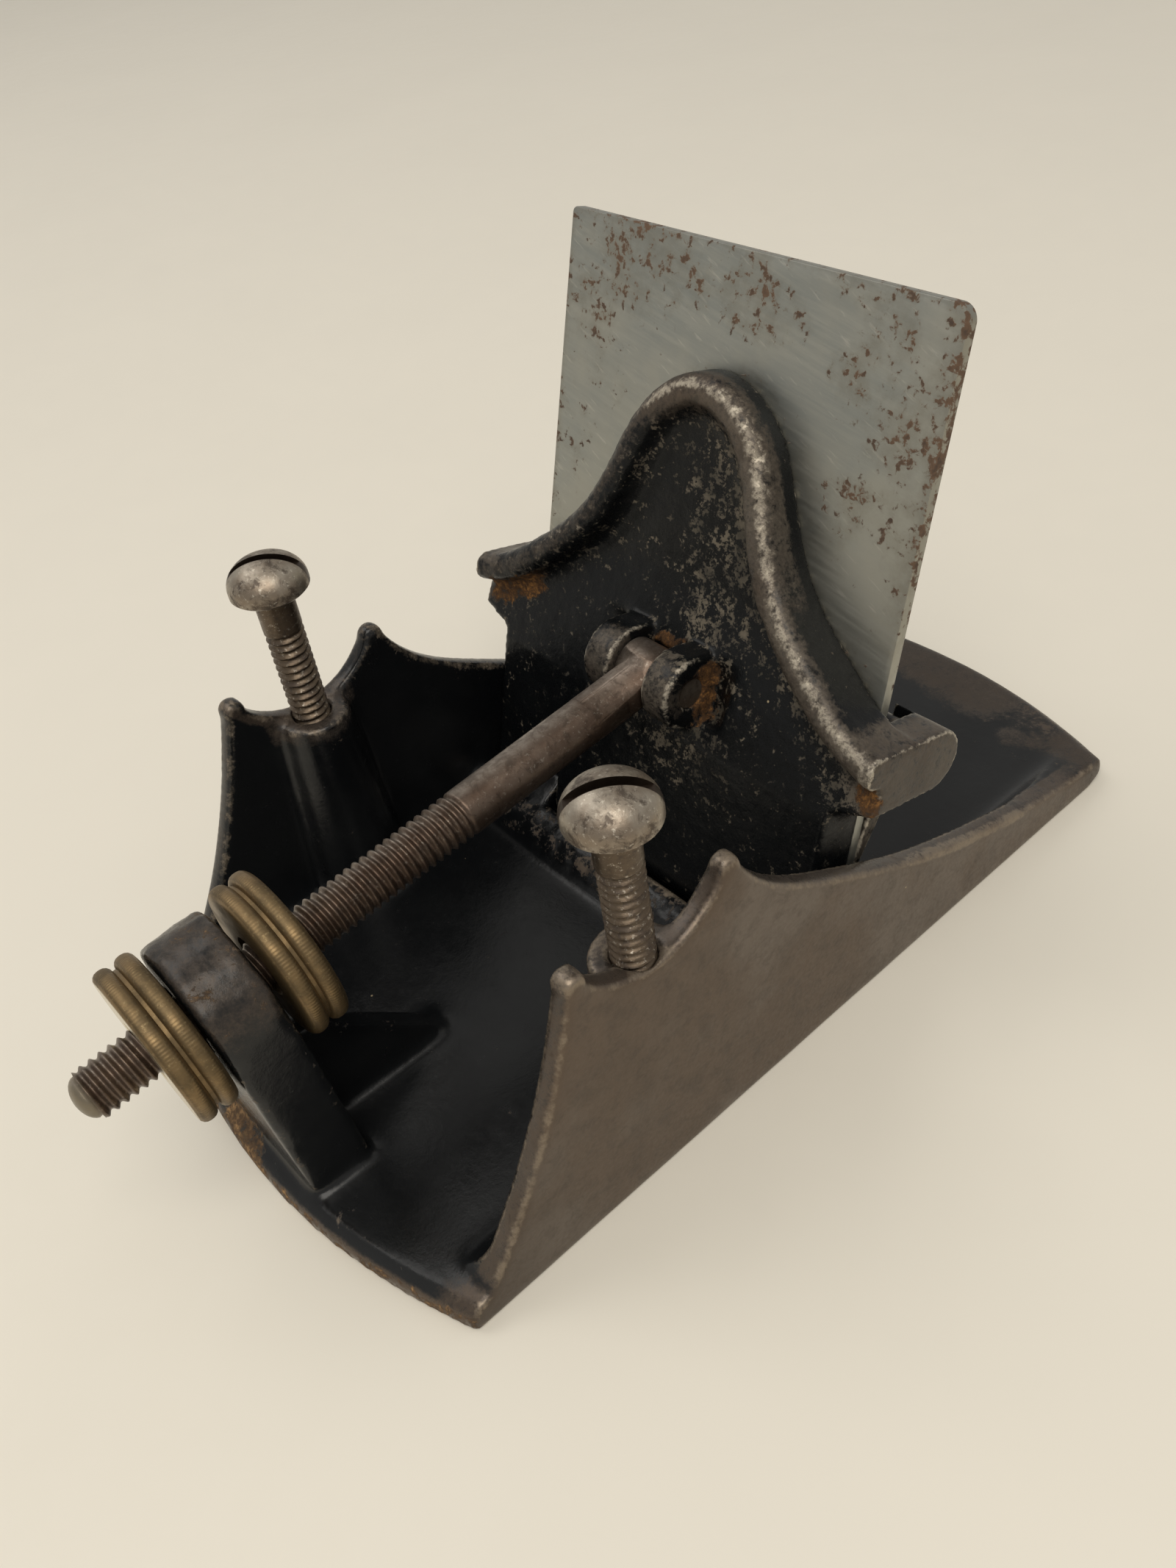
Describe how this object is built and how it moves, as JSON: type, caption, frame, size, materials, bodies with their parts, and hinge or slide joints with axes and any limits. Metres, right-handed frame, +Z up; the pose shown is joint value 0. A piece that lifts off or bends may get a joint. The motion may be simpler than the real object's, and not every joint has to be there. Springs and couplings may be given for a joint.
{
  "type": "scraper plane",
  "caption": "Cast-iron cabinet scraper plane with high curved cheeks, a leaning blade in a pivoting holder, and a threaded rod with brass nuts that sets the lean; handle removed.",
  "frame": {"origin": "on the sole's underside, below the middle of the tool's overall length and width", "axes": "+X to the user's right, +Y forward along the sole, +Z up from the sole"},
  "size_m": [0.089, 0.1781, 0.1002],
  "materials": {
    "body_iron": "black japanned inside, bare worn iron outside",
    "holder_iron": "worn black japanning with rust",
    "cap_iron": "worn black japanning",
    "blade_steel": "grey steel with rust specks",
    "rod_steel": "brown-grey aged steel",
    "plain_steel": "dull aged steel",
    "screw_steel": "tarnished plating",
    "brass": "aged, knurled edges"
  },
  "bodies": {
    "body": {"body_casting": "body_iron"},
    "holder": {"blade_holder": "holder_iron", "pivot_pin": "plain_steel", "rod_pin": "plain_steel"},
    "blade": {"blade": "blade_steel"},
    "cap": {"clamp_cap": "cap_iron"},
    "clamp_screw": {"clamp_screw": "plain_steel"},
    "clamp_knob": {"clamp_knob": "brass"},
    "rod": {"adjusting_rod": "rod_steel"},
    "rear_nut": {"rear_nut": "brass"},
    "front_nut": {"front_nut": "brass"},
    "left_screw": {"left_handle_screw": "screw_steel"},
    "right_screw": {"right_handle_screw": "screw_steel"}
  },
  "joints": [
    {"name": "rear_nut_turn", "type": "hinge", "parent": "body", "child": "rear_nut", "pos_m": [0, -0.06671, 0.0371], "axis": [0, 0.9968, 0.0804], "range_deg": [-1480, 1190]},
    {"name": "front_nut_turn", "type": "hinge", "parent": "body", "child": "front_nut", "pos_m": [0, -0.06671, 0.0371], "axis": [0, 0.9968, 0.0804], "range_deg": [-1482, 1192]},
    {"name": "holder_tilt", "type": "hinge", "parent": "body", "child": "holder", "pos_m": [0, 0.00839, 0.00943], "axis": [-1, 0, 0], "range_deg": [-8.1, 10]},
    {"name": "rod_pivot", "type": "hinge", "parent": "holder", "child": "rod", "pos_m": [0, 0.01303, 0.04353], "axis": [-1, 0, 0], "range_deg": [-9.1, 7.3]},
    {"name": "blade_slide", "type": "slide", "parent": "holder", "child": "blade", "axis": [0, 0.2773, 0.9608], "range_m": [-0.003, 0.03]},
    {"name": "clamp_knob_turn", "type": "hinge", "parent": "clamp_screw", "child": "clamp_knob", "pos_m": [0, 0.03684, 0.05679], "axis": [0, 0.9608, -0.2773], "range_deg": [0, 360]},
    {"name": "clamp_screw_travel", "type": "slide", "parent": "cap", "child": "clamp_screw", "axis": [0, 0.9608, -0.2773], "range_m": [0, 0.0013]},
    {"name": "cap_rock", "type": "hinge", "parent": "holder", "child": "cap", "pos_m": [0, 0.02748, 0.04024], "axis": [1, 0, 0], "range_deg": [0, 3.5]},
    {"name": "left_screw_turn", "type": "hinge", "parent": "body", "child": "left_screw", "pos_m": [-0.0383, -0.02691, 0.0411], "axis": [0, 0, 1], "continuous": true},
    {"name": "right_screw_turn", "type": "hinge", "parent": "body", "child": "right_screw", "pos_m": [0.0383, -0.02691, 0.0411], "axis": [0, 0, 1], "continuous": true}
  ],
  "couplings": [
    {"joint": "front_nut_turn", "follows": "rear_nut_turn", "ratio": 1},
    {"joint": "holder_tilt", "follows": "rear_nut_turn", "ratio": -0.0067196},
    {"joint": "rod_pivot", "follows": "rear_nut_turn", "ratio": 0.0060645},
    {"joint": "clamp_screw_travel", "follows": "clamp_knob_turn", "m_per_rad": 0.00020213},
    {"joint": "cap_rock", "follows": "clamp_knob_turn", "ratio": 0.0094012}
  ]
}
